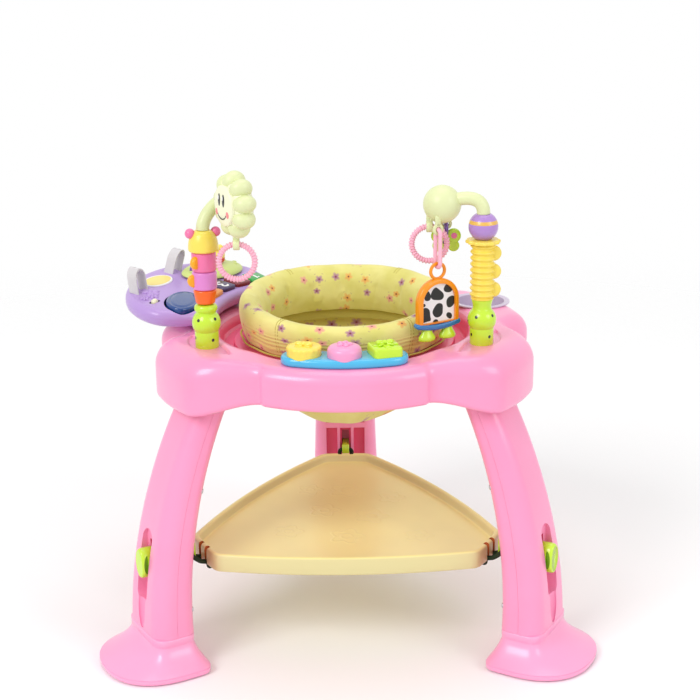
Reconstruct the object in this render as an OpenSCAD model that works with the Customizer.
// Baby jumper: a three-legged stand with a play tray, a turning seat and a bouncing floor.
// Millimetres. The origin is on the floor under the middle of the stand, +Z up, -Y to the front.

/* [Stand] */
// Reach of a leg's centre line at the floor beyond the edge of the tray's lobe
leg_out = 27; // [20:1:40]
// Radius of the inward lean of a leg
leg_arc_r = 740; // [700:5:800]
// Reach of a leg inside the lower edge of the tray
leg_lap = 10; // [6:1:14]
// Width of a leg at the foot
leg_w_low = 116; // [104:1:122]
// Width of a leg at the tray
leg_w_top = 90; // [84:1:96]
// Depth of a leg at the foot
leg_d_low = 64; // [60:1:68]
// Depth of a leg at the tray
leg_d_top = 50; // [46:1:54]
// Radius of a leg's long edges
leg_round = 19; // [12:1:20]
// Wall of the leg shells
leg_wall = 3; // [2:0.5:4]
// Height of a foot
foot_h = 56; // [50:1:62]
// Reach of a foot beyond the leg's centre line
foot_out = 93; // [86:1:100]
// Reach of a foot inside the leg's centre line
foot_in = 45; // [40:1:50]
// Width of a foot
foot_w = 174; // [164:1:184]

/* [Tray] */
// Height of the tray's deck at its lobes
tray_top_z = 474; // [468:1:482]
// Drop of the deck at the front, where the button panel lies
tray_front_drop = 6; // [3:1:8]
// Drop of the deck at the left dock, where the piano lies
tray_dock_drop = 8; // [4:1:10]
// Depth of the tray's wall at a lobe
tray_lobe_h = 84; // [80:1:90]
// Depth of the tray's wall between the lobes
tray_mid_h = 57; // [50:1:60]
// Width of the tray from the well to the edge of a lobe
tray_lobe_w = 106; // [102:1:112]
// Width of the tray between the lobes
tray_mid_w = 51; // [49:1:56]
// Width of the tray at the two toy docks
tray_dock_w = 102; // [96:1:108]
// Radius of the round well for the seat
well_r = 186; // [184:1:188]
// Depth of the well below the deck
well_h = 34; // [30:1:38]
// Wall of the tray
tray_wall = 3; // [2:0.5:4]

/* [Seat] */
// Width of the ledge on the well's floor, outside the seat track
well_ledge = 16; // [14:1:17]
// Distance from the tray's bore to the padded collar
collar_air = 7; // [6:1:12]
// Thickness of the collar
collar_t = 44; // [38:1:50]
// Rise of the collar above the deck at the front
collar_front_h = 38; // [32:1:46]
// Rise of the collar above the deck at the back
collar_back_h = 60; // [54:1:66]
// Depth of the cloth bucket below the deck
bucket_h = 152; // [142:1:160]
// Radius of a leg hole in the bucket
leg_hole_r = 50; // [46:1:53]
// Thickness of the bucket's cloth
cloth_t = 4; // [3:0.5:5]

/* [Bounce floor] */
// Height of the platform's rim
floor_z = 165; // [158:1:172]
// Height of the platform's edge
floor_h = 28; // [24:1:32]
// Distance from a platform corner to the inner face of its leg
floor_air = 32.8; // [30:0.1:38]
// Width of a platform corner
floor_corner_w = 78; // [70:1:86]
// Outward bulge of a platform edge
floor_bulge = 19; // [12:1:26]
// Depth of the platform inside its rim
floor_dish = 9; // [6:1:12]
// Diameter of the bungee cord
bungee_d = 7; // [5:0.5:8]
// Height of a height knob
knob_h = 46; // [40:1:50]
// Width of a height knob
knob_w = 30; // [26:1:33]

/* [Button panel] */
// Height of the button panel
panel_h = 12; // [11:0.5:14]
// Width of the panel from front to back
panel_w = 50; // [48:1:54]
// Radius of a round button
button_r = 24; // [22:0.5:24.5]
// Height of a button above the panel
button_h = 13; // [11:0.5:16]

/* [Toy posts] */
// Distance from the well's edge to a toy post
post_in = 41; // [38:1:44]
// Radius of the rod in a post
rod_r = 5; // [4.5:0.1:5.5]
// Radius of a post's lime base
post_base_r = 17; // [16:0.5:18]
// Radius of the lime ball
post_ball_r = 20.5; // [19:0.5:21.5]
// Height of the orange bead
bead_orange_h = 21; // [19:0.5:23]
// Height of the mauve bead
bead_mauve_h = 26; // [24:0.5:28]
// Height of the pink bead
bead_pink_h = 28; // [26:0.5:30]
// Radius of the mauve and pink beads
bead_r = 17.5; // [16.5:0.5:18.5]
// Radius of the yellow head bead
head_r = 21.5; // [20:0.5:22.5]
// Height of the bellows
bellows_h = 86; // [80:1:90]
// Radius of the striped ball
ball_r = 21; // [20:0.5:22]
// Radius of the flower over its petals
flower_r = 47; // [44:1:49]
// Radius of a ridged ring at the middle of its tube
ring_r = 25; // [24:0.5:27]
// Radius of a ridged ring's tube
ring_tube_r = 4.5; // [4:0.1:5]

/* [Piano] */
// Distance from the middle of the keys to the middle of the piano
piano_fore = 39; // [36:1:42]
// Length of the piano along the tray
piano_l = 300; // [290:1:306]
// Tilt of the piano towards the seat
piano_tilt = 8; // [6:0.5:9]
// Thickness of the piano's base
piano_base_h = 14; // [12:0.5:16]
// Thickness of the piano's top shell
piano_top_h = 12; // [11:0.5:14]
// Height of a key above the top shell
key_h = 6; // [5:0.5:7]

/* [Hidden] */
// Radii about the seat axis, all from the well's
track_bore_r = well_r - well_ledge;
collar_r = track_bore_r - collar_air;
tray_mid_r = well_r + tray_mid_w;
tray_dock_r = well_r + tray_dock_w;
tray_lobe_r = well_r + tray_lobe_w;
leg_r = tray_lobe_r + leg_out;
post_r = well_r + post_in;
// Heights, all from the deck's
leg_top_z = tray_top_z - tray_lobe_h + leg_lap;
collar_front_z = tray_top_z + collar_front_h;
collar_back_z = tray_top_z + collar_back_h;
bucket_low_z = tray_top_z - bucket_h;
$fn = 48;

// Directions of the legs and docks about the seat axis
left_az = 210;
right_az = 330;
rear_az = 90;
piano_az = 155;
bowl_az = 25;
front_az = 270;

// Clearances and the overrun of every cut
overrun = 1;
run_gap = 0.06;
slide_gap = 0.3;
seat_gap = 0.3;

// Curved outlines and lofted solids

// Points of an arc about a centre, from one angle to another
function arc(cx, cy, r, a0, a1, n) =
    [for (i = [0:n]) [cx + r * cos(a0 + (a1 - a0) * i / n), cy + r * sin(a0 + (a1 - a0) * i / n)]];
// Smooth step from 1 to 0 as d goes from a to b
function fade(d, a, b) = d <= a ? 1 : d >= b ? 0 : (1 + cos(180 * (d - a) / (b - a))) / 2;
// Angle between two directions
function turn(a, b) = abs(((a - b) % 360 + 540) % 360 - 180);
// A value between two others
function mix(a, b, t) = a + (b - a) * t;

// Solid through a stack of closed outlines with equal numbers of points, closed by a fan at both ends
module loft(rings) {
    n = len(rings[0]);
    m = len(rings);
    low = [for (k = [0:2]) ([for (p = rings[0]) 1] * [for (p = rings[0]) p[k]]) / n];
    top = [for (k = [0:2]) ([for (p = rings[0]) 1] * [for (p = rings[m - 1]) p[k]]) / n];
    sides = [for (k = [0:m - 2], i = [0:n - 1])
        let (j = (i + 1) % n)
        each [[k * n + i, (k + 1) * n + i, (k + 1) * n + j], [k * n + i, (k + 1) * n + j, k * n + j]]];
    ends = [for (i = [0:n - 1])
        let (j = (i + 1) % n)
        each [[m * n, i, j], [m * n + 1, (m - 1) * n + j, (m - 1) * n + i]]];
    polyhedron([for (r = rings) each r, low, top], concat(sides, ends), convexity = 6);
}

// Closed ring of sections about the seat axis; each section is a closed outline
module ring_loft(sections) {
    n = len(sections[0]);
    m = len(sections);
    faces = [for (k = [0:m - 1], i = [0:n - 1])
        let (j = (i + 1) % n, l = (k + 1) % m)
        each [[k * n + i, k * n + j, l * n + j], [k * n + i, l * n + j, l * n + i]]];
    polyhedron([for (s = sections) each s], faces, convexity = 8);
}

// Place a flat section of radius and height at a direction about the axis
function stand_up(section, az) = [for (p = section) [p[0] * cos(az), p[0] * sin(az), p[1]]];

module about_seat() { translate([0, seat_y, 0]) children(); }
module toward(az, r = 0, z = 0) { about_seat() rotate([0, 0, az]) translate([r, 0, z]) children(); }

// Tray

tray_steps = 72;
lobe_flat = 9;
lobe_reach = 31;
dock_flat = 14;
dock_reach = 30;
front_flat = 29;
front_reach = 45;
piano_flat = 32;
piano_reach = 44;
tray_apothem = cos(180 / tray_steps);
pan_clear = 0.5;
tray_lip_inset = 5;
tray_lip_h = 10;
edge_round_share = 0.34;
well_round_share = 0.2;

function lobe_share(az) =
    max([for (a = [left_az, right_az, rear_az]) fade(turn(az, a), lobe_flat, lobe_reach)]);
function dock_share(az) = max([for (a = [piano_az, bowl_az]) fade(turn(az, a), dock_flat, dock_reach)]);
function piano_share(az) = fade(turn(az, piano_az), piano_flat, piano_reach);
function front_share(az) = fade(turn(az, front_az), front_flat, front_reach);
function tray_r(az) = mix(mix(tray_mid_r, tray_dock_r, dock_share(az)), tray_lobe_r, lobe_share(az));
function deck_z(az) = tray_top_z - tray_front_drop * front_share(az) - tray_dock_drop * piano_share(az);
function tray_low_z(az) = mix(deck_z(az) - tray_mid_h, tray_top_z - tray_lobe_h, lobe_share(az));
well_z = tray_top_z - well_h;

// Wall section of the tray: outer wall, rounded edge, deck, well and bore, then back along the inside
function tray_section(az) =
    let (r = tray_r(az), z = deck_z(az), low = tray_low_z(az), w = r - well_r,
        e = w * edge_round_share, v = w * well_round_share, bore = track_bore_r / tray_apothem, t = tray_wall)
    concat(
        [[r - tray_lip_inset, low], [r, low + tray_lip_h]],
        arc(r - e, z - e, e, 0, 90, 5),
        [[well_r + v, z]],
        arc(well_r + v, z - v, v, 105, 180, 3),
        [[well_r - t, well_z], [bore, well_z], [bore, well_z - t], [well_r, well_z - t]],
        [[well_r + t, z - v - t], [well_r + v + t, z - t], [r - e, z - t]],
        arc(r - e, z - e, e - t, 60, 0, 2),
        [[r - t, low + tray_lip_h], [r - tray_lip_inset - t, low]]);

bowl_r = 40;
bowl_h = 46;
bowl_wall = 2.5;
bowl_rim = 6;
bowl_foot_share = 0.8;
bowl_side_share = 0.7;
bowl_place_r = (well_r + tray_dock_r) / 2;

// Many-sided hole of the right dock, for the round bowl
hole_sides = 36;
hole_turn = 3;
module dock_hole(g) {
    toward(bowl_az, bowl_place_r, tray_top_z - tray_lobe_h)
    linear_extrude(tray_lobe_h + overrun)
    polygon([for (i = [0:hole_sides - 1])
        let (a = 360 * i / hole_sides + hole_turn)
        (bowl_r + g) / cos(180 / hole_sides) * [cos(a), sin(a)]]);
}

module tray_top() {
    color([1, 0.65, 0.8])
    difference() {
        about_seat()
        ring_loft([for (i = [0:tray_steps - 1])
            let (az = 360 * i / tray_steps)
            stand_up(tray_section(az), az)]);
        dock_hole(slide_gap);
    }
}

// Pan under the tray: its height follows the lower edge of the wall, and the legs butt against it
pan_t = 3;
pan_rise = leg_top_z - (tray_top_z - tray_lobe_h);
pan_bore_r = track_bore_r + pan_t;

function pan_section(az) =
    let (r = tray_r(az) - tray_wall - pan_clear, z = tray_low_z(az) + pan_rise,
        b = pan_bore_r)
    [[b, z], [r, z], [r, z + pan_t], [b, z + pan_t]];

module tray_bottom() {
    color([0.94, 0.5, 0.68])
    difference() {
        about_seat()
        ring_loft([for (i = [0:tray_steps - 1])
            let (az = 360 * i / tray_steps)
            stand_up(pan_section(az), az)]);
        dock_hole(pan_clear + slide_gap);
    }
}

// Round track in the tray's bore; its flange lies on the well's floor and its ledge carries the hoop
track_t = 3.4;
track_ledge = 10;
track_drop = 30;
track_flange = 11;
track_out_r = track_bore_r - seat_gap;
track_in_r = track_out_r - track_t;

module seat_track() {
    color([0.96, 0.55, 0.72])
    about_seat()
    rotate_extrude($fn = 96)
    polygon([[track_in_r - track_ledge, well_z - track_drop], [track_out_r, well_z - track_drop],
        [track_out_r, well_z], [track_out_r + track_flange, well_z],
        [track_out_r + track_flange, well_z + track_t],
        [track_in_r, well_z + track_t], [track_in_r, well_z - track_drop + track_t],
        [track_in_r - track_ledge, well_z - track_drop + track_t]]);
}

// Legs

leg_steps = 11;
leg_corner_steps = 4;
seam_gap = 0.3;
knob_up = 25;
knob_down = 35;
knob_drop = 5;
knob_z = floor_z - knob_drop;
chan_side = 3.5;
chan_end = 2;
chan_least_d = 4;
chan_w = knob_w + 2 * chan_side;
chan_low_z = knob_z - knob_down - knob_h / 2 - chan_end;
chan_top_z = knob_z + knob_up + knob_h / 2 + chan_end;
stem_w = 12;
stem_h = 16;
slot_w = stem_w + 2 * slide_gap;
slot_low_z = knob_z - knob_down - stem_h / 2 - slide_gap;
slot_top_z = knob_z + knob_up + stem_h / 2 + slide_gap;

function leg_z(i) = mix(foot_h, leg_top_z, i / leg_steps);
function leg_share(z) = (z - foot_h) / (leg_top_z - foot_h);
function leg_c(z) = z <= foot_h ? leg_r : leg_r - leg_arc_r + sqrt(pow(leg_arc_r, 2) - pow(z - foot_h, 2));
function leg_hw(z) = mix(leg_w_low, leg_w_top, leg_share(z)) / 2;
function leg_hd(z) = mix(leg_d_low, leg_d_top, leg_share(z)) / 2;
// Outer half of a leg's section: flat at the seam, rounded outside
function leg_half(z, from) =
    let (w = leg_hw(z), d = leg_hd(z), c = min(leg_round, d - leg_wall))
    concat([[from, -w]], arc(d - c, -w + c, c, -90, 0, leg_corner_steps),
        arc(d - c, w - c, c, 0, 90, leg_corner_steps), [[from, w]]);
function leg_outer_ring(z) = [for (p = leg_half(z, 0)) [leg_c(z) + p[0], p[1], z]];
function leg_inner_ring(z) = [for (p = leg_half(z, seam_gap)) [leg_c(z) - p[0], -p[1], z]];

// Upright floor of the knob's channel, and the half width of the hollow in a leg
chan_r = leg_c(chan_top_z) + leg_hd(chan_top_z) - chan_least_d;
hollow_hw = leg_w_top / 2 - 2 * leg_wall;
function hollow_r(z) = min(leg_c(z) + leg_hd(z), chan_r) - leg_wall;

// Band between two curves that follow a leg in side view, extruded across the leg
module leg_band(points, width) {
    translate([0, width / 2, 0])
    rotate([90, 0, 0])
    linear_extrude(width)
    polygon(points);
}

screw_r = 2;
screw_head_r = 4;
screw_head_h = 2.4;
screw_l = 34;
screw_rise_shares = [0.1, 0.62];
function screw_z(k) = mix(foot_h, leg_top_z, screw_rise_shares[k]);
function screw_v(z) = (leg_hw(z) + hollow_hw) / 2 - screw_head_r / 2;
module leg_screw_places() {
    for (k = [0:len(screw_rise_shares) - 1], s = [-1, 1])
        let (z = screw_z(k))
        translate([leg_c(z) - leg_hd(z), s * screw_v(z), z])
        rotate([0, 90, 0])
        children();
}

module knob_slot(from_r, to_r) {
    translate([from_r, -slot_w / 2, slot_low_z])
    cube([to_r - from_r, slot_w, slot_top_z - slot_low_z]);
}

module leg_shell(az) {
    zs = [for (i = [0:leg_steps]) leg_z(i)];
    color([1, 0.65, 0.8])
    toward(az)
    difference() {
        loft([for (z = zs) leg_outer_ring(z)]);
        leg_band(concat([for (i = [0:leg_steps - 1]) [hollow_r(zs[i]), i == 0 ? zs[0] + leg_wall : zs[i]]],
            [for (i = [leg_steps - 1:-1:0]) [leg_c(zs[i]) - overrun, i == 0 ? zs[0] + leg_wall : zs[i]]]),
            2 * hollow_hw);
        translate([chan_r, -chan_w / 2, chan_low_z])
        cube([leg_d_low, chan_w, chan_top_z - chan_low_z]);
        knob_slot(chan_r - 2 * leg_wall, chan_r + overrun);
        leg_screw_places()
        cylinder(r = screw_r + slide_gap / 2, h = screw_l + overrun, $fn = 24);
    }
}

pocket_d = 9;
rib_t = 4;
pocket_w_share = 0.22;
pocket_rise_shares = [[0.16, 0.42], [0.45, 0.78]];
module leg_cover(az) {
    zs = [for (i = [0:leg_steps]) leg_z(i)];
    color([0.96, 0.55, 0.72])
    toward(az)
    difference() {
        loft([for (z = zs) leg_inner_ring(z)]);
        for (row = pocket_rise_shares, s = [-1, 0, 1])
            let (w = leg_w_top * pocket_w_share,
                pz = [for (i = [0:3]) mix(foot_h, leg_top_z, mix(row[0], row[1], i / 3))])
            translate([0, s * (w + rib_t), 0])
            leg_band(concat([for (z = pz) [leg_c(z) - leg_hd(z) + pocket_d, z]],
                [for (i = [3:-1:0]) [leg_c(pz[i]) - leg_hd(pz[i]) - overrun, pz[i]]]), w);
        knob_slot(leg_c(slot_top_z) - leg_d_low, leg_r + overrun);
        leg_screw_places()
        cylinder(r = screw_r + slide_gap / 2, h = screw_l + overrun, $fn = 24);
        leg_screw_places()
        translate([0, 0, -leg_d_low])
        cylinder(r = screw_head_r + slide_gap, h = leg_d_low + screw_head_h + slide_gap, $fn = 24);
    }
}
module leg_left() { leg_shell(left_az); }
module leg_right() { leg_shell(right_az); }
module leg_rear() { leg_shell(rear_az); }
module leg_cover_left() { leg_cover(left_az); }
module leg_cover_right() { leg_cover(right_az); }
module leg_cover_rear() { leg_cover(rear_az); }

module cover_screws() {
    color("silver")
    for (az = [left_az, right_az, rear_az])
        toward(az)
        leg_screw_places() {
            translate([0, 0, slide_gap])
            cylinder(r = screw_head_r, h = screw_head_h, $fn = 24);
            translate([0, 0, slide_gap + screw_head_h])
            cylinder(r = screw_r, h = screw_l - screw_head_h - slide_gap, $fn = 24);
        }
}

// Feet: a flared skirt from a D-shaped outline on the floor to the section of the leg

foot_steps = 6;
pad_h = 4;
pad_r = 11;
pad_sink = 2;
foot_low_z = pad_h - pad_sink;
foot_edge_h = 9;
// Section of the leg's lower end and the D of the foot, as distances from the leg's centre line
foot_points = 32;
foot_flare_power = 2.1;
leg_box_power = 5;
foot_box_power = 7;
foot_round_power = 2.3;
function box_reach(a, d, w, n) = pow(pow(abs(cos(a)) / d, n) + pow(abs(sin(a)) / w, n), -1 / n);
function leg_reach(a) = box_reach(a, leg_d_low / 2, leg_w_low / 2, leg_box_power);
function foot_reach(a) = cos(a) > 0 ? box_reach(a, foot_out, foot_w / 2, foot_round_power)
    : box_reach(a, foot_in, foot_w / 2, foot_box_power);
function foot_ring(k) =
    let (t = max(k - 1, 0) / (foot_steps - 1), g = pow(1 - t, foot_flare_power),
        z = k == 0 ? foot_low_z : mix(foot_low_z + foot_edge_h, foot_h, t))
    [for (i = [0:foot_points - 1])
        let (a = 360 * i / foot_points, r = mix(leg_reach(a), foot_reach(a), g))
        [leg_r + r * cos(a), r * sin(a), z]];
// The seat axis stands in front of the middle of the whole stand
function foot_front(a) = -(leg_r + foot_reach(a) * cos(a)) * sin(left_az) - foot_reach(a) * sin(a) * cos(left_az);
stand_back = leg_r + foot_out;
stand_front = max(tray_mid_r, max([for (i = [0:foot_points - 1]) foot_front(360 * i / foot_points)]));
seat_y = (stand_front - stand_back) / 2;
pad_spots_shares = [[-0.45, -0.62], [-0.45, 0.62], [0.6, 0]];
module pad_places() {
    for (s = pad_spots_shares)
        translate([leg_r + (s[0] > 0 ? foot_out : foot_in) * s[0], foot_w / 2 * s[1], 0])
        children();
}
module foot(az) {
    color([1, 0.65, 0.8])
    toward(az)
    difference() {
        loft([for (k = [0:foot_steps]) foot_ring(k)]);
        pad_places()
        cylinder(r = pad_r + slide_gap, h = pad_h);
    }
}
module foot_left() { foot(left_az); }
module foot_right() { foot(right_az); }
module foot_rear() { foot(rear_az); }
module foot_pads() {
    color([0.25, 0.25, 0.27])
    for (az = [left_az, right_az, rear_az])
        toward(az)
        pad_places()
        cylinder(r = pad_r, h = pad_h);
}

// Height knobs: oval grip with a dished face outside, stem through the leg, hook on the inner side

hook_out = 20;
hook_lip = 6;
hook_t = 5;
grip_t = 22;
grip_dish = 9;
grip_rim = 4.5;
grip_points = 28;
hook_face_r = leg_c(knob_z) - leg_hd(knob_z);
hook_groove_r = hook_face_r - hook_out / 2;
module knob_oval(m) {
    polygon([for (i = [0:grip_points - 1])
        let (a = 360 * i / grip_points)
        [(knob_w / 2 - m) * cos(a), (knob_h / 2 - m) * sin(a)]]);
}
module height_knob(az) {
    grip_r = chan_r + slide_gap;
    color([0.76, 0.92, 0.2])
    toward(az, 0, knob_z) {
        translate([grip_r, 0, 0])
        rotate([90, 0, 90])
        difference() {
            linear_extrude(grip_t)
            knob_oval(0);
            translate([0, 0, grip_t - grip_dish])
            linear_extrude(grip_dish + overrun)
            knob_oval(grip_rim);
        }
        translate([hook_face_r - hook_out, -stem_w / 2, -stem_h / 2])
        cube([grip_r + overrun - hook_face_r + hook_out, stem_w, hook_t]);
        translate([hook_face_r + overrun, -stem_w / 2, -stem_h / 2])
        cube([grip_r - hook_face_r, stem_w, stem_h]);
        translate([hook_face_r - hook_out, -stem_w / 2, -stem_h / 2])
        cube([hook_t, stem_w, stem_h + hook_lip]);
    }
}
module height_knob_left() { height_knob(left_az); }
module height_knob_right() { height_knob(right_az); }
module height_knob_rear() { height_knob(rear_az); }

// Bounce floor

floor_steps = 10;
floor_corner_r = hook_face_r - floor_air;
floor_rim = 9;
floor_low_z = floor_z - floor_h;
floor_plate_t = 4;
notch_d = 8;
strand_v = stem_w / 2 + bungee_d / 2 + slide_gap;

function unit(v) = v / norm(v);
// Outline of the platform, drawn in by a margin
function floor_corner(az, s, m) =
    [(floor_corner_r - m) * cos(az) - s * (floor_corner_w / 2 - m / 2) * sin(az),
     (floor_corner_r - m) * sin(az) + s * (floor_corner_w / 2 - m / 2) * cos(az)];
function floor_edge(a, b) =
    let (out = unit([b[1] - a[1], a[0] - b[0]]))
    [for (i = [0:floor_steps])
        let (t = i / floor_steps)
        a + (b - a) * t + out * floor_bulge * 4 * t * (1 - t)];
function floor_outline(m) = [for (az = [rear_az, left_az, right_az])
    each floor_edge(floor_corner(az, 1, m), floor_corner(az + 120, -1, m))];

module platform() {
    color([0.94, 0.88, 0.65])
    difference() {
        about_seat()
        translate([0, 0, floor_low_z])
        linear_extrude(floor_h)
        polygon(floor_outline(0));
        about_seat()
        translate([0, 0, floor_z - floor_dish])
        linear_extrude(floor_h)
        polygon(floor_outline(floor_rim));
        about_seat()
        translate([0, 0, floor_low_z - overrun])
        linear_extrude(floor_h + overrun - floor_dish - floor_plate_t)
        polygon(floor_outline(floor_rim + notch_d + bungee_d));
        for (az = [left_az, right_az, rear_az], s = [-1, 1])
            toward(az, floor_corner_r - notch_d, floor_low_z - overrun)
            translate([0, s * strand_v - bungee_d / 2 - slide_gap, 0])
            cube([2 * notch_d, bungee_d + 2 * slide_gap, floor_h + 2 * overrun]);
    }
}

// Bungee loops: over the hook, down both notches and across under the platform's corner
bungee_sides = 8;
bungee_air = 0.5;
hook_air = 1.2;
hook_top_z = knob_z - stem_h / 2 + hook_t;
strand_in_r = floor_corner_r - notch_d + bungee_d / 2 + bungee_air;
under_z = floor_low_z - bungee_d / 2 - bungee_air;
over_z = hook_top_z + bungee_d / 2 + hook_air;
tie_r = strand_in_r - notch_d - bungee_d;
strand_mid_share = 0.5;
function half_loop(s) = [
    [hook_groove_r, s * stem_w / 3, over_z],
    [hook_groove_r, s * (strand_v + bungee_air), over_z - bungee_d / 2],
    [mix(hook_groove_r, strand_in_r, strand_mid_share), s * (strand_v + bungee_air),
        mix(over_z - bungee_d, floor_low_z, strand_mid_share)],
    [strand_in_r + bungee_air, s * strand_v, floor_low_z + bungee_d / 2],
    [strand_in_r - bungee_d / 4, s * strand_v, under_z + bungee_air],
    [mix(strand_in_r, tie_r, strand_mid_share), s * (strand_v - bungee_air), under_z],
    [tie_r, s * stem_w / 3, under_z]];
function loop_points() = concat(half_loop(1), [for (i = [6:-1:0]) half_loop(-1)[i]]);

module bungees() {
    p = loop_points();
    n = len(p);
    across = unit(cross([0, 1, 0], [tie_r - hook_groove_r, 0, under_z - over_z]));
    color([0.12, 0.2, 0.08])
    for (az = [left_az, right_az, rear_az])
        toward(az)
        ring_loft([for (k = [0:n - 1])
            let (t = unit(p[(k + 1) % n] - p[(k + n - 1) % n]), u = unit(cross(t, across)), w = cross(t, u))
            [for (i = [0:bungee_sides - 1])
                p[k] + bungee_d / 2 * (u * cos(360 * i / bungee_sides) + w * sin(360 * i / bungee_sides))]]);
}

// Seat

hoop_t = 8;
hoop_h = 36;
hoop_flange = 26;
hoop_flange_t = 3.4;
hoop_out_r = track_in_r - seat_gap;
hoop_in_r = hoop_out_r - hoop_t;
hoop_low_z = well_z - track_drop + track_t + seat_gap;
hoop_top_z = hoop_low_z + hoop_h;
collar_steps = 48;
collar_low_z = hoop_top_z + seat_gap;
// Section of the collar as shares of its thickness and height, inner side first
collar_section_shares = [[0.25, 0], [0.7, 0], [0.84, 0.1], [0.92, 0.28], [1, 0.55], [0.98, 0.78],
    [0.86, 0.93], [0.62, 1], [0.35, 0.98], [0.14, 0.86], [0.05, 0.62], [0, 0.4], [0.04, 0.18], [0.12, 0.05]];
gather_count = 16;
gather_share = 0.018;
collar_dip_reach = 150;

function collar_top(az) = mix(collar_back_z, collar_front_z, fade(turn(az, front_az), 0, collar_dip_reach));
function collar_ring(az) = [for (s = collar_section_shares)
    let (swell = 1 - gather_share * (1 - cos(gather_count * az)) / 2 * s[0])
    [(collar_r - collar_t + collar_t * s[0]) * swell, mix(collar_low_z, collar_top(az), s[1])]];

module seat_collar() {
    color([0.92, 0.88, 0.43])
    about_seat()
    ring_loft([for (i = [0:collar_steps - 1])
        let (az = 360 * i / collar_steps)
        stand_up(collar_ring(az), az)]);
}

module seat_hoop() {
    color([0.96, 0.6, 0.75])
    about_seat()
    rotate_extrude($fn = 96)
    polygon([[hoop_in_r, hoop_low_z], [hoop_out_r, hoop_low_z], [hoop_out_r, hoop_top_z],
        [hoop_out_r - hoop_flange, hoop_top_z], [hoop_out_r - hoop_flange, hoop_top_z - hoop_flange_t],
        [hoop_in_r, hoop_top_z - hoop_flange_t]]);
}

// Cloth bucket: hangs in the hoop, pleated towards its bottom, with two leg holes
bucket_steps = 36;
bucket_pleats = 9;
bucket_pleat_share = 0.05;
bucket_top_z = hoop_top_z - hoop_flange_t - seat_gap;
bucket_r = hoop_in_r - seat_gap;
bucket_shares = [[0.2, 0], [0.42, 0.09], [0.62, 0.25], [0.79, 0.44], [0.92, 0.64], [1, 0.84], [1, 1]];
leg_hole_az = 78;
leg_hole_tilt = 18;
leg_hole_gap = 14;
leg_hole_place_share = 0.3;

function bucket_ring(s, t) = [for (i = [0:bucket_steps - 1])
    let (az = 360 * i / bucket_steps,
        r = (bucket_r * s[0] - t) * (1 - bucket_pleat_share * (1 - s[1]) * (1 - cos(bucket_pleats * az)) / 2))
    [r * cos(az), r * sin(az), mix(bucket_low_z + t, bucket_top_z, s[1])]];

module seat_bucket() {
    m = len(bucket_shares);
    color([0.9, 0.86, 0.42])
    difference() {
        about_seat()
        loft(concat([for (s = bucket_shares) bucket_ring(s, 0)],
            [for (i = [m - 1:-1:0]) bucket_ring(bucket_shares[i], cloth_t)]));
        for (s = [-1, 1])
            toward(front_az + s * leg_hole_az, leg_hole_r + leg_hole_gap,
                mix(bucket_low_z, bucket_top_z, leg_hole_place_share))
            rotate([0, 180 - leg_hole_tilt, 0])
            translate([0, 0, -leg_hole_r])
            cylinder(r = leg_hole_r, h = 2 * bucket_r);
    }
}

// Button panel

panel_edge = 12;
panel_mid_r = tray_mid_r - tray_wall - panel_w / 2 - panel_edge;
panel_wall = 3;
panel_z = deck_z(front_az) + seat_gap;
board_t = 2;
contact_h = 1;
contact_r = 6;
button_travel = 4;
rim_h = 3;
rim_t = 3;
button_low_z = panel_z + board_t + contact_h + button_travel + slide_gap;
button_top_z = panel_z + panel_h + button_h;
button_air = 8.5;
panel_end = 4;
button_off_az = 2 * asin((button_r + button_air / 2) / panel_mid_r);
panel_half_az = button_off_az + asin(panel_end * 2 / panel_mid_r);
gift_share = 1.72;
gift_w = button_r * gift_share;
gift_round = 6;
bow_r = 6.5;
bow_knot_r = 4.5;
ribbon_w = 9;
ribbon_t = 1.5;

function crescent(m) =
    let (r = panel_mid_r, h = panel_w / 2 - m, a = panel_half_az)
    concat(arc(0, 0, r + h, -a, a, 10), arc(r * cos(a), r * sin(a), h, a, a + 180, 10),
        arc(0, 0, r - h, a, -a, 10), arc(r * cos(a), -r * sin(a), h, 180 - a, 360 - a, 10));

module button_place(k) {
    toward(front_az + k * button_off_az, panel_mid_r, 0)
    rotate([0, 0, 90])
    children();
}
module rounded_square(w, c) {
    h = w / 2 - c;
    polygon(concat(arc(h, h, c, 0, 90, 6), arc(-h, h, c, 90, 180, 6), arc(-h, -h, c, 180, 270, 6),
        arc(h, -h, c, 270, 360, 6)));
}
module button_panel() {
    color([0.27, 0.72, 0.9])
    difference() {
        union() {
            toward(front_az, 0, panel_z)
            linear_extrude(panel_h)
            polygon(crescent(0));
            for (k = [-1, 0])
                button_place(k)
                translate([0, 0, panel_z + overrun])
                cylinder(r = button_r + slide_gap + rim_t, h = panel_h - overrun + rim_h);
        }
        toward(front_az, 0, panel_z - overrun)
        linear_extrude(overrun + board_t + contact_h + slide_gap)
        polygon(crescent(panel_wall));
        for (k = [-1, 0])
            button_place(k)
            translate([0, 0, panel_z])
            cylinder(r = button_r + slide_gap, h = panel_h + button_h);
        button_place(1)
        translate([0, 0, panel_z])
        linear_extrude(panel_h + button_h)
        rounded_square(gift_w + 2 * slide_gap, gift_round);
    }
}
module contact_board() {
    color([0.2, 0.5, 0.3]) {
        toward(front_az, 0, panel_z)
        linear_extrude(board_t)
        polygon(crescent(panel_wall + slide_gap));
        for (k = [-1, 0, 1])
            button_place(k)
            translate([0, 0, panel_z])
            cylinder(r = contact_r, h = board_t + contact_h);
    }
}
module bow(z) {
    for (s = [-1, 1])
        translate([s * bow_r, 0, z])
        sphere(bow_r, $fn = 32);
    translate([0, 0, z + bow_knot_r / 2])
    sphere(bow_knot_r, $fn = 32);
}
cake_top_share = 0.84;
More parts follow.
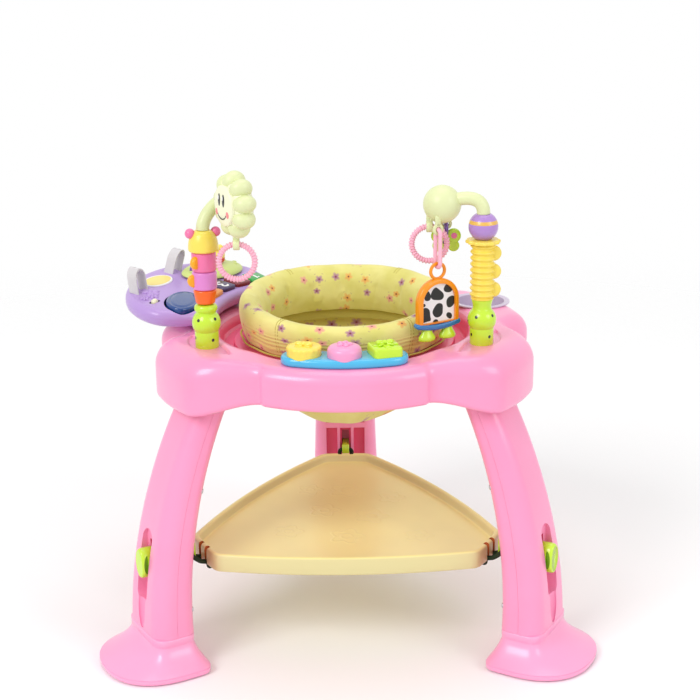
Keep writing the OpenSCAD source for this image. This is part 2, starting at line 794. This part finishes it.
module cake_button() {
    h = button_top_z - button_low_z;
    edge = button_r * (1 - cake_top_share);
    color([0.98, 0.87, 0.35])
    button_place(-1) {
        translate([0, 0, button_low_z])
        rotate_extrude()
        polygon(concat([[0, 0], [button_r, 0]],
            arc(button_r - edge, h - edge, edge, 0, 90, 5),
            [[0, h]]));
        bow(button_top_z);
    }
}
dome_rise = 5;
module dome_button() {
    h = button_top_z - button_low_z - dome_rise;
    color([0.96, 0.55, 0.75])
    button_place(0) {
        translate([0, 0, button_low_z])
        rotate_extrude()
        polygon(concat([[0, 0], [button_r, 0]],
            [for (i = [0:8]) [button_r * cos(90 * i / 8), h + 2 * dome_rise * sin(90 * i / 8)]]));
        for (a = [0:72:359])
            rotate([0, 0, a])
            translate([bow_r, 0, button_top_z + dome_rise / 2])
            sphere(bow_knot_r, $fn = 32);
    }
}
module gift_button() {
    h = button_top_z - button_low_z;
    color([0.72, 0.88, 0.25])
    button_place(1) {
        translate([0, 0, button_low_z])
        linear_extrude(h)
        rounded_square(gift_w, gift_round);
        for (a = [0, 90])
            translate([0, 0, button_top_z - overrun])
            rotate([0, 0, a])
            translate([-gift_w / 2 + gift_round / 2, -ribbon_w / 2, 0])
            cube([gift_w - gift_round, ribbon_w, overrun + ribbon_t]);
        bow(button_top_z + ribbon_t);
    }
}

// Toy posts: fixed lime bases, rods and stalks, and beads that turn on the rods

post_z = tray_top_z + seat_gap;
base_h = 18;
ring_neck_r = 16.5;
ring_neck_h = 13;
right_neck_r = 13.5;
right_neck_h = 15;
ball_sink_share = 0.7;
ball_neck_share = 0.75;
ball_rise = base_h + post_ball_r * ball_sink_share;
left_stack_z = post_z + ball_rise + post_ball_r * ball_neck_share + ring_neck_h;
right_stack_z = post_z + ball_rise + post_ball_r * ball_neck_share + right_neck_h;
rod_foot = 8;

module at_left() { toward(left_az, post_r) rotate([0, 0, -left_az]) children(); }
module at_right() { toward(right_az, post_r) rotate([0, 0, -right_az]) children(); }

module post_base(neck_r, stack_z) {
    color([0.76, 0.92, 0.2])
    difference() {
        union() {
            translate([0, 0, post_z])
            cylinder(r = post_base_r, h = base_h);
            translate([0, 0, post_z + ball_rise])
            sphere(post_ball_r);
            translate([0, 0, post_z + ball_rise])
            cylinder(r = neck_r, h = stack_z - post_z - ball_rise);
        }
        translate([0, 0, post_z + rod_foot])
        cylinder(r = rod_r + run_gap, h = stack_z);
        translate([0, 0, post_z - post_ball_r])
        cylinder(r = post_ball_r + overrun, h = post_ball_r);
    }
}
module post_base_left() { at_left() post_base(ring_neck_r, left_stack_z); }
module post_base_right() { at_right() post_base(right_neck_r, right_stack_z); }

orange_z = left_stack_z + seat_gap;
mauve_z = orange_z + bead_orange_h + seat_gap;
pink_z = mauve_z + bead_mauve_h + seat_gap;
head_z = pink_z + bead_pink_h + seat_gap;
head_h = 30;
head_top_z = head_z + head_h;
bellows_z = right_stack_z + seat_gap;
ball_cut_share = 0.85;
ball_z = bellows_z + bellows_h + seat_gap + ball_r * ball_cut_share;
ball_top_z = ball_z + ball_r * ball_cut_share;

module rod_bore(z, h) {
    translate([0, 0, z - overrun])
    cylinder(r = rod_r + run_gap, h = h + 2 * overrun);
}
bead_edge = 3;
module bead(z, h, r_low, r_top) {
    difference() {
        translate([0, 0, z])
        rotate_extrude()
        polygon(concat([[0, 0], [r_low - bead_edge, 0]],
            arc(r_low - bead_edge, bead_edge, bead_edge, -90, 0, 4),
            arc(r_top - bead_edge, h - bead_edge, bead_edge, 0, 90, 4), [[0, h]]));
        rod_bore(z, h);
    }
}
orange_top_r = 16.5;
orange_low_r = 14;
tab_w = 9;
tab_r = 9;
mauve_tab_az = 200;
pink_tab_az = 215;
module bead_tab(z, h, az) {
    rotate([0, 0, az])
    translate([bead_r - bead_edge, tab_w / 2, z + h / 2])
    rotate([90, 0, 0])
    cylinder(r = tab_r, h = tab_w);
}
module bead_orange() {
    color([1, 0.45, 0])
    at_left()
    bead(orange_z, bead_orange_h, orange_low_r, orange_top_r);
}
module bead_mauve() {
    color([0.92, 0.6, 0.85])
    at_left() {
        bead(mauve_z, bead_mauve_h, bead_r, bead_r);
        bead_tab(mauve_z, bead_mauve_h, mauve_tab_az);
    }
}
module bead_pink() {
    color([0.96, 0.43, 0.63])
    at_left() {
        bead(pink_z, bead_pink_h, bead_r, bead_r);
        bead_tab(pink_z, bead_pink_h, pink_tab_az);
    }
}
feeler_r = 7.5;
feeler_az = 20;
head_sweep = 66;
module bead_head() {
    color([0.98, 0.87, 0.35])
    at_left()
    difference() {
        union() {
            translate([0, 0, head_z])
            rotate_extrude()
            polygon(concat([[0, 0]], arc(head_r - bead_edge, bead_edge, bead_edge, -90, 0, 4),
                [for (i = [1:8])
                    [head_r * cos(head_sweep * i / 8), bead_edge + (head_h - bead_edge) * sin(90 * i / 8)]],
                [[0, head_h]]));
            for (a = [feeler_az, feeler_az + 180])
                rotate([0, 0, a])
                translate([head_r - bead_edge, 0, head_top_z - feeler_r / 2])
                sphere(feeler_r, $fn = 32);
        }
        rod_bore(head_z, head_h);
        translate([0, 0, head_top_z])
        cylinder(r = stalk_r + slide_gap + bead_edge, h = head_h);
    }
}

// Stalks: the rod of a post and a bent tube that carries the hanging toys
stalk_r = 9.5;
stalk_steps = 9;
stalk_sides = 12;
flower_dx = 49;
flower_dy = -32;
flower_rise = 42;
flower_z = head_top_z + flower_rise;
flower_t = 34;
flower_az = 200;
flower_rim_share = 0.86;
pin_r = 4;
pin_l = 10;
bud_dx = -57;
bud_dy = 13;
bud_r = 23.5;
bud_rise = 12;
bud_z = ball_top_z + bud_rise;
bud_top_rise = 14;
bud_guide_share = 0.45;
// Direction of the bud's mould seam, clear of the stalk and the eyes
bud_seam_az = 120;
// Flat at the top and bottom of the bud
bud_flat = 0.4;

// Curve through four guide points, and its direction
function bezier(p, t) =
    p[0] * pow(1 - t, 3) + p[1] * 3 * t * pow(1 - t, 2) + p[2] * 3 * (1 - t) * pow(t, 2) + p[3] * pow(t, 3);
function heading(p, t) =
    unit((p[1] - p[0]) * pow(1 - t, 2) + (p[2] - p[1]) * 2 * t * (1 - t) + (p[3] - p[2]) * pow(t, 2));
module stalk_tube(p) {
    side = unit(cross(p[1] - p[0], p[3] - p[0]));
    loft([for (i = [0:stalk_steps])
        let (t = i / stalk_steps, d = heading(p, t), u = unit(cross(side, d)), v = cross(d, u))
        [for (k = [0:stalk_sides - 1])
            let (s = 360 * k / stalk_sides)
            bezier(p, t) + stalk_r * (u * cos(s) + v * sin(s))]]);
}
// The stalk's tip meets the flower's rim square, on the side towards the post
flower_side = [cos(flower_az - 90), sin(flower_az - 90), 0];
stalk_tip = [flower_dx, flower_dy, flower_z] + (flower_r * flower_rim_share + slide_gap) * flower_side;
stalk_lean = 24;
stalk_up = 24;
rod_grip = 6;
stalk_foot = [0, 0, head_top_z + seat_gap];
module stalk_left() {
    color([0.9, 0.94, 0.7])
    at_left() {
        translate([0, 0, post_z + rod_foot + seat_gap])
        cylinder(r = rod_r, h = head_top_z - post_z - rod_foot + rod_grip);
        stalk_tube([stalk_foot, stalk_foot + [0, 0, stalk_up], stalk_tip + stalk_lean * flower_side, stalk_tip]);
        translate(stalk_tip)
        rotate([0, 0, flower_az + 90])
        rotate([0, 90, 0])
        cylinder(r = pin_r, h = pin_l);
    }
}

eye_r = 8.5;
eye_w = 9;
thin_eye_w = 4;
eye_air = 0.8;
link_tube_r = 3;
// Eye with its hole along one direction, hung under a carrier
module eye(hole_r, w, stem_h, az) {
    rotate([0, 0, az])
    difference() {
        union() {
            translate([-w / 2, 0, 0])
            rotate([0, 90, 0])
            cylinder(r = eye_r, h = w, $fn = 32);
            translate([-w / 2, -eye_w / 2, 0])
            cube([w, eye_w, stem_h]);
        }
        translate([-eye_w, 0, 0])
        rotate([0, 90, 0])
        cylinder(r = hole_r, h = 2 * eye_w, $fn = 32);
    }
}
ring_eye = ring_tube_r + eye_air;
link_eye = link_tube_r + eye_air;

// Flower rattle: puffy petals about a round face, with a foot that carries the ridged ring
petal_count = 9;
petal_share = 0.14;
flower_face_share = 0.6;
flower_face_t = 2;
flower_rings_shares = [[0.66, -0.5], [0.9, -0.34], [1, -0.05], [0.95, 0.24], [0.8, 0.44], [0.62, 0.5]];
flower_points = 54;
function flower_ring(s) = [for (i = [0:flower_points - 1])
    let (a = 360 * i / flower_points,
        r = flower_r * s[0] * (1 - petal_share * (1 - abs(cos(petal_count * a / 2)))))
    [r * cos(a), r * sin(a), flower_t * s[1]]];
ring_left_z = flower_z - flower_r - eye_r;
module flower() {
    color([0.9, 0.94, 0.7])
    at_left() {
        translate([flower_dx, flower_dy, flower_z])
        rotate([0, 0, flower_az])
        rotate([0, 90, 0])
        difference() {
            union() {
                loft([for (s = flower_rings_shares) flower_ring(s)]);
                cylinder(r = flower_r * flower_face_share, h = flower_t / 2 + flower_face_t);
            }
            rotate([90, 0, 0])
            translate([0, 0, flower_r * flower_rim_share - pin_l])
            cylinder(r = pin_r + run_gap, h = flower_r);
            translate([-flower_r, -flower_r * (1 + flower_rim_share), -flower_t])
            cube([2 * flower_r, flower_r, 2 * flower_t]);
        }
        translate([flower_dx, flower_dy, ring_left_z])
        eye(ring_eye, eye_w, flower_r / 2, 0);
    }
}
module ridged_ring() {
    rotate([90, 0, 0])
    rotate_extrude()
    translate([ring_r, 0])
    circle(ring_tube_r, $fn = 24);
}
module ring_left() {
    color([1, 0.75, 0.8])
    at_left()
    translate([flower_dx, flower_dy, ring_left_z - ring_r])
    ridged_ring();
}

// Bellows, striped ball and the right stalk with its bud
bellows_ribs = 9;
bellows_r = 18;
bellows_groove = 3.5;
rib_shares = [0.3, 0.7];
bellows_top_r = 25;
bellows_top_h = 7;
fin_w = 12;
fin_r = 11;
fin_count = 3;
module bellows() {
    body_h = bellows_h - bellows_top_h;
    pitch = body_h / bellows_ribs;
    color([0.98, 0.87, 0.35])
    at_right()
    difference() {
        union() {
            translate([0, 0, bellows_z])
            rotate_extrude()
            polygon(concat([[0, 0]], [for (i = [0:bellows_ribs - 1]) each [
                [bellows_r - bellows_groove, pitch * i], [bellows_r, pitch * (i + rib_shares[0])],
                [bellows_r, pitch * (i + rib_shares[1])]]],
                [[bellows_r - bellows_groove, body_h], [bellows_top_r, body_h + bellows_top_h / 3],
                [bellows_top_r, bellows_h - bellows_top_h / 4], [bellows_top_r - bead_edge, bellows_h],
                [0, bellows_h]]));
            for (i = [0:fin_count - 1])
                translate([bellows_r - bead_edge, fin_w / 2, bellows_z + body_h * (i + 0.5) / fin_count])
                rotate([90, 0, 0])
                cylinder(r = fin_r, h = fin_w, $fn = 32);
        }
        rod_bore(bellows_z, bellows_h);
    }
}
module striped_ball() {
    color([0.74, 0.6, 0.85])
    at_right()
    difference() {
        translate([0, 0, ball_z])
        sphere(ball_r);
        rod_bore(ball_z - ball_r, 2 * ball_r);
        translate([0, 0, bellows_z + bellows_h + seat_gap - 2 * ball_r])
        cylinder(r = 2 * ball_r, h = 2 * ball_r);
        translate([0, 0, ball_top_z])
        cylinder(r = 2 * ball_r, h = ball_r);
    }
}
bud = [bud_dx, bud_dy, bud_z];
// Places of the three eyes under the bud, as shares of its radius
ring_eye_shares = [-0.75, 0.1];
link_eye_shares = [-0.3, -0.85];
charm_eye_shares = [0.3, 0.82];
function eye_place(s) = [bud_dx + bud_r * s[0], bud_dy + bud_r * s[1], bud_z - bud_r - eye_r];
ring_eye_place = eye_place(ring_eye_shares);
link_eye_place = eye_place(link_eye_shares);
charm_eye_place = eye_place(charm_eye_shares);
mirror_turn = 30;
module stalk_right() {
    color([0.9, 0.94, 0.7])
    at_right() {
        translate([0, 0, post_z + rod_foot + seat_gap])
        cylinder(r = rod_r, h = ball_top_z - post_z - rod_foot + rod_grip);
        stalk_tube([[0, 0, ball_top_z + seat_gap], [0, 0, bud_z + bud_top_rise],
            [bud_dx * bud_guide_share, bud_dy * bud_guide_share, bud_z + bud_top_rise], bud]);
        translate(bud)
        rotate([0, 0, bud_seam_az])
        intersection() {
            sphere(bud_r);
            cylinder(r = 2 * bud_r, h = 2 * (bud_r - bud_flat), center = true);
        }
        translate(ring_eye_place)
        eye(ring_eye, eye_w, bud_r, 0);
        translate(link_eye_place)
        eye(link_eye, thin_eye_w, bud_r, 90 + mirror_turn);
        translate(charm_eye_place)
        eye(link_eye, thin_eye_w, bud_r, 90);
    }
}
module ring_right() {
    color([1, 0.75, 0.8])
    at_right()
    translate(ring_eye_place)
    translate([0, 0, -ring_r])
    ridged_ring();
}

// Chain link and the mirror toy that hangs on it
link_w = 18;
link_l = 60;
module chain_link() {
    bend_r = link_w / 2 - link_tube_r;
    run = link_l - 2 * bend_r - 2 * link_tube_r;
    color([1, 0.75, 0.8])
    at_right()
    translate(link_eye_place)
    rotate([0, 0, 90 + mirror_turn])
    translate([0, 0, -bend_r])
    rotate([90, 0, 0]) {
        rotate_extrude(angle = 180)
        translate([bend_r, 0])
        circle(link_tube_r, $fn = 24);
        translate([0, -run, 0])
        rotate([0, 0, 180])
        rotate_extrude(angle = 180)
        translate([bend_r, 0])
        circle(link_tube_r, $fn = 24);
        for (s = [-1, 1])
            translate([s * bend_r, 0, 0])
            rotate([90, 0, 0])
            cylinder(r = link_tube_r, h = run, $fn = 24);
    }
}
mirror_w = 66;
mirror_h = 66;
mirror_t = 12;
mirror_rim = 8;
mirror_face_t = 5;
mirror_loop_r = 13;
bar_h = 9;
bar_over = 3;
mirror_foot_r = 9;
mirror_foot_h = 14;
mirror_hang_z = link_eye_place[2] - link_l + 2 * link_tube_r;
mirror_loop_z = mirror_hang_z - mirror_loop_r + link_eye + bead_edge + eye_air;
loop_sink_share = 0.8;
mirror_arch_z = mirror_loop_z - mirror_loop_r * loop_sink_share - mirror_h;
module at_mirror(z) {
    at_right()
    translate([link_eye_place[0], link_eye_place[1], z])
    rotate([0, 0, mirror_turn])
    children();
}
function arch_outline(m) =
    let (r = mirror_w / 2 - m, z = mirror_h - mirror_w / 2)
    concat([[-r, m], [r, m]], arc(0, z, r, 0, 180, 16));
module upright(t) {
    rotate([90, 0, 0])
    translate([0, 0, -t / 2])
    linear_extrude(t)
    children();
}
module mirror_arch() {
    color([1, 0.55, 0.08])
    at_mirror(mirror_arch_z)
    difference() {
        union() {
            upright(mirror_t)
            polygon(arch_outline(0));
            translate([0, mirror_t / 6, mirror_loop_z - mirror_arch_z])
            rotate([90, 0, 0])
            cylinder(r = mirror_loop_r, h = mirror_t / 3);
        }
        upright(mirror_t + overrun)
        polygon(arch_outline(mirror_rim));
        translate([0, mirror_t, mirror_loop_z - mirror_arch_z])
        rotate([90, 0, 0])
        cylinder(r = mirror_loop_r - bead_edge - eye_air, h = 2 * mirror_t);
    }
}
module mirror_face() {
    color([0.95, 0.95, 0.95])
    at_mirror(mirror_arch_z)
    upright(mirror_face_t)
    polygon(arch_outline(mirror_rim + run_gap));
}
mirror_foot_share = 0.25;
bar_end = mirror_w / 2 + bar_over;
bar_flat = mirror_w * mirror_foot_share + mirror_foot_r / 2;
module mirror_bar() {
    color([0.16, 0.47, 0.7])
    at_mirror(mirror_arch_z - bar_h - run_gap)
    upright(mirror_t + 2 * run_gap)
    polygon([[-bar_end, bar_h / 3], [-bar_flat, 0], [bar_flat, 0], [bar_end, bar_h / 3], [bar_end, bar_h],
        [-bar_end, bar_h]]);
}
module mirror_feet() {
    color([0.76, 0.92, 0.2])
    for (s = [-1, 1])
        at_mirror(mirror_arch_z - bar_h - 2 * run_gap - mirror_foot_h)
        translate([s * mirror_w * mirror_foot_share, 0, 0])
        rotate_extrude()
        polygon([[0, 0], [mirror_foot_r, 0], [mirror_foot_r, mirror_foot_h / 3],
            [mirror_foot_r / 2, mirror_foot_h], [0, mirror_foot_h]]);
}
// Butterfly charm with its own loop
charm_w = 42;
charm_h = 40;
charm_t = 8;
charm_loop_r = 8;
charm_body_share = 0.24;
charm_hang_share = 0.2;
// Upper and lower wing: side, height and radius
charm_wing_shares = [[0.26, 0.16, 0.25], [0.26, -0.2, 0.2]];
module charm() {
    color([0.65, 0.88, 0.2])
    at_right()
    translate(charm_eye_place) {
        translate([0, 0, -charm_loop_r])
        rotate([0, 90, 0])
        rotate_extrude()
        translate([charm_loop_r, 0])
        circle(link_tube_r, $fn = 24);
        translate([0, 0, -2 * charm_loop_r - charm_h * charm_hang_share]) {
            upright(charm_t)
            circle(charm_w * charm_body_share);
            for (s = [-1, 1], wing = charm_wing_shares)
                upright(charm_t)
                translate([s * charm_w * wing[0], charm_h * wing[1]])
                circle(charm_w * wing[2]);
        }
    }
}

// Snack bowl in the right dock
module snack_bowl() {
    color([0.75, 0.7, 0.82])
    toward(bowl_az, bowl_place_r, 0)
    rotate_extrude()
    polygon([[0, tray_top_z - bowl_h], [bowl_r * bowl_foot_share, tray_top_z - bowl_h],
        [bowl_r, tray_top_z - bowl_h * bowl_side_share], [bowl_r, tray_top_z + seat_gap],
        [bowl_r + bowl_rim, tray_top_z + seat_gap], [bowl_r + bowl_rim, tray_top_z + seat_gap + bowl_wall],
        [bowl_r - bowl_wall, tray_top_z + seat_gap + bowl_wall],
        [bowl_r - bowl_wall, tray_top_z - bowl_h * bowl_side_share + bowl_wall / 2],
        [bowl_r * bowl_foot_share - bowl_wall / 2, tray_top_z - bowl_h + bowl_wall],
        [0, tray_top_z - bowl_h + bowl_wall]]);
}

// Piano: a crescent unit on the left dock, tilted towards the seat

piano_d = 106;
piano_back = 15;
piano_tip_w = 98;
piano_gap = 8;
piano_sweep = 105;
piano_bevel = 4;
piano_in_r = well_r + piano_gap;
key_d = 34;
key_edge = 12;
key_mid_r = piano_in_r + key_edge + key_d / 2;
piano_r = key_mid_r + piano_fore;
piano_tip_x = piano_r - sqrt(pow(piano_in_r, 2) - pow(piano_tip_w, 2));
dock_z = tray_top_z - tray_dock_drop;
piano_z = dock_z + 2 * seat_gap + piano_tip_x * sin(piano_tilt);
piano_top_z = piano_base_h + piano_top_h;
plinth_w = 34;
plinth_l = 120;
plinth_x = 45;
key_clear = 0.4;
key_travel = 3;
key_w = 34;
key_round = 6;
key_air = 5;
key_off_az = 2 * asin((key_w + key_air) / 2 / key_mid_r);
key_first_share = 0.6;
key_first_az = key_off_az * key_first_share;
drum_l = 84;
drum_w = 50;
drum_out = 24;
drum_az_share = 2.1;
drum_az = key_off_az * drum_az_share;
drum_r = key_mid_r + drum_out;
pocket_floor = 2;

module at_piano() { toward(piano_az, piano_r, piano_z) rotate([0, -piano_tilt, 0]) children(); }
function piano_outline(m) =
    let (b = piano_l / 2 - m, a = piano_d - m, r = piano_in_r + m, w = piano_tip_w - m)
    concat([for (i = [0:28])
        let (t = mix(-piano_sweep, piano_sweep, i / 28))
        [a * cos(t) - piano_back, b * sin(t)]],
        [for (i = [0:12]) let (y = mix(w, -w, i / 12)) [sqrt(r * r - y * y) - piano_r, y]]);
module key_place(az, r) {
    translate([-piano_r, 0, 0])
    rotate([0, 0, az])
    translate([r, 0, 0])
    children();
}
function key_az(k) = key_first_az - key_off_az * k;
module key_shape(g) {
    linear_extrude(piano_top_h + key_h)
    polygon(concat(arc(key_d / 2 - key_round, key_w / 2 - key_round, key_round + g, 0, 90, 5),
        arc(-key_d / 2 + key_round, key_w / 2 - key_round, key_round + g, 90, 180, 5),
        arc(-key_d / 2 + key_round, -key_w / 2 + key_round, key_round + g, 180, 270, 5),
        arc(key_d / 2 - key_round, -key_w / 2 + key_round, key_round + g, 270, 360, 5)));
}
module drum_shape(g) {
    polygon([for (i = [0:35]) [(drum_w / 2 + g) * cos(10 * i), (drum_l / 2 + g) * sin(10 * i)]]);
}
door_l = 84;
door_w = 44;
door_t = 3;
door_x = 26;
cell_h = 6;

module piano_base() {
    color([0.66, 0.55, 0.8])
    difference() {
        union() {
            at_piano()
            linear_extrude(piano_base_h)
            polygon(piano_outline(0));
            toward(piano_az, piano_r - plinth_x, dock_z + seat_gap)
            translate([0, -plinth_l / 2, 0])
            cube([plinth_w, plinth_l, piano_z - dock_z]);
        }
        at_piano()
        translate([door_x - door_w / 2 - slide_gap, -door_l / 2 - slide_gap, -overrun])
        cube([door_w + 2 * slide_gap, door_l + 2 * slide_gap, overrun + door_t]);
        at_piano()
        translate([door_x - door_w / 2 + door_t, -door_l / 2 + door_t, 0])
        cube([door_w - 2 * door_t, door_l - 2 * door_t, door_t + cell_h]);
    }
}
module battery_door() {
    color([0.6, 0.5, 0.75])
    at_piano()
    translate([door_x - door_w / 2, -door_l / 2, 0])
    cube([door_w, door_l, door_t]);
}
switch_x = 2;
switch_y = 116;
switch_run = 12;
switch_w = 8;
switch_l = 10;
switch_rise = 4;
module piano_top() {
    color([0.78, 0.67, 0.9])
    difference() {
        at_piano() {
            translate([0, 0, piano_base_h])
            linear_extrude(piano_top_h - piano_bevel)
            polygon(piano_outline(0));
            translate([0, 0, piano_top_z - piano_bevel])
            linear_extrude(piano_bevel / 2)
            polygon(piano_outline(piano_bevel / 3));
            translate([0, 0, piano_top_z - piano_bevel / 2])
            linear_extrude(piano_bevel / 2)
            polygon(piano_outline(piano_bevel));
        }
        for (k = [0:3])
            at_piano()
            translate([0, 0, piano_base_h + pocket_floor])
            key_place(key_az(k), key_mid_r)
            key_shape(key_clear);
        at_piano()
        translate([0, 0, piano_base_h + pocket_floor])
        key_place(drum_az, drum_r)
        linear_extrude(piano_top_h)
        drum_shape(key_clear);
        at_piano()
        translate([switch_x - switch_w / 2 - slide_gap, switch_y - (switch_l + switch_run) / 2 - slide_gap,
            piano_base_h + pocket_floor])
        cube([switch_w + 2 * slide_gap, switch_l + switch_run + 2 * slide_gap, piano_top_h]);
    }
}
module piano_key(k, tint) {
    color(tint)
    at_piano()
    translate([0, 0, piano_base_h + pocket_floor + key_travel + slide_gap])
    key_place(key_az(k), key_mid_r)
    intersection() {
        key_shape(0);
        translate([-key_w, -key_w, 0])
        cube([2 * key_w, 2 * key_w, piano_top_h - pocket_floor - key_travel - slide_gap + key_h]);
    }
}
module key_orange() { piano_key(0, [0.95, 0.6, 0.2]); }
module key_purple() { piano_key(1, [0.3, 0.12, 0.4]); }
module key_red() { piano_key(2, [0.5, 0.1, 0.15]); }
module key_green() { piano_key(3, [0.2, 0.65, 0.25]); }
drum_crown_share = 0.86;
module drum_key() {
    low_h = piano_top_h - pocket_floor - key_travel - slide_gap + key_h / 2;
    color([0, 0.28, 0.6])
    at_piano()
    translate([0, 0, piano_base_h + pocket_floor + key_travel + slide_gap])
    key_place(drum_az, drum_r) {
        linear_extrude(low_h)
        drum_shape(0);
        translate([0, 0, low_h])
        linear_extrude(key_h / 2)
        drum_shape(-drum_w / 2 * (1 - drum_crown_share));
    }
}
module slide_switch() {
    color([0.95, 0.92, 0.8])
    at_piano()
    translate([switch_x - switch_w / 2, switch_y - switch_l / 2, piano_base_h + pocket_floor + slide_gap])
    cube([switch_w, switch_l, piano_top_h - pocket_floor + switch_rise]);
}
// Long hill with two spinning figures
hill_r = 62;
hill_flat_share = 0.55;
hill_turn = -14;
hill_h = 15;
hill_x = 10;
hill_y = -72;
figure_pin_r = 2.5;
figure_pin_h = 16;
figure_gap = 34;
cone_r = 13;
cone_h = 24;
chick_r = 10;
chick_head_r = 7;
chick_sit_share = 0.9;
chick_neck_share = 0.5;
hill_edge_share = 0.2;
module at_hill(s, z) {
    at_piano()
    translate([hill_x, hill_y + s * figure_gap / 2, piano_top_z + z])
    children();
}
module hill() {
    color([0.86, 0.92, 0.6]) {
        at_hill(0, 0)
        rotate([0, 0, hill_turn])
        scale([hill_flat_share, 1, 1])
        rotate_extrude()
        polygon(concat([[0, 0]], [for (i = [0:8])
            [hill_r * cos(90 * i / 8), hill_h * mix(hill_edge_share, 1, sin(90 * i / 8))]], [[0, hill_h]]));
        for (s = [-1, 1])
            at_hill(s, hill_h / 2)
            cylinder(r = figure_pin_r, h = hill_h / 2 + figure_pin_h, $fn = 24);
    }
}
module figure_bore() {
    translate([0, 0, -overrun])
    cylinder(r = figure_pin_r + run_gap, h = figure_pin_h + overrun + slide_gap, $fn = 24);
}
module hill_cone() {
    color([0.5, 0.3, 0.65])
    at_hill(1, hill_h + seat_gap)
    difference() {
        cylinder(r1 = cone_r, r2 = cone_r / 3, h = cone_h);
        figure_bore();
    }
}
module hill_chick() {
    color([0.98, 0.8, 0.15])
    at_hill(-1, hill_h + seat_gap)
    difference() {
        union() {
            translate([0, 0, chick_r * chick_sit_share])
            sphere(chick_r, $fn = 32);
            translate([0, 0, 2 * chick_r * chick_sit_share + chick_head_r * chick_neck_share])
            sphere(chick_head_r, $fn = 32);
        }
        figure_bore();
        translate([0, 0, -2 * chick_r])
        cylinder(r = 2 * chick_r, h = 2 * chick_r);
    }
}
// Webbing loops at the piano's outer edge
strap_w = 16;
strap_t = 2.5;
strap_bend_r = 14;
strap_leg = 20;
strap_spots_shares = [[0.42, 0.62], [0.56, -0.2]];
module strap_loops() {
    color([0.88, 0.87, 0.86])
    for (s = strap_spots_shares)
        at_piano()
        translate([piano_d * s[0], piano_l / 2 * s[1], piano_top_z]) {
            translate([0, 0, strap_leg])
            rotate([90, 0, 90])
            rotate_extrude(angle = 180)
            translate([strap_bend_r - strap_t, -strap_w / 2])
            square([strap_t, strap_w]);
            for (k = [-1, 1])
                translate([-strap_w / 2, k * (strap_bend_r - strap_t / 2) - strap_t / 2, 0])
                cube([strap_w, strap_t, strap_leg]);
        }
}

tray_top();
tray_bottom();
seat_track();
leg_left();
leg_right();
leg_rear();
leg_cover_left();
leg_cover_right();
leg_cover_rear();
foot_left();
foot_right();
foot_rear();
foot_pads();
cover_screws();
height_knob_left();
height_knob_right();
height_knob_rear();
platform();
bungees();
seat_hoop();
seat_bucket();
seat_collar();
button_panel();
contact_board();
cake_button();
dome_button();
gift_button();
post_base_left();
stalk_left();
bead_orange();
bead_mauve();
bead_pink();
bead_head();
flower();
ring_left();
post_base_right();
stalk_right();
bellows();
striped_ball();
ring_right();
chain_link();
charm();
mirror_arch();
mirror_face();
mirror_bar();
mirror_feet();
snack_bowl();
piano_base();
piano_top();
drum_key();
key_purple();
key_red();
key_green();
key_orange();
slide_switch();
hill();
hill_cone();
hill_chick();
strap_loops();
battery_door();
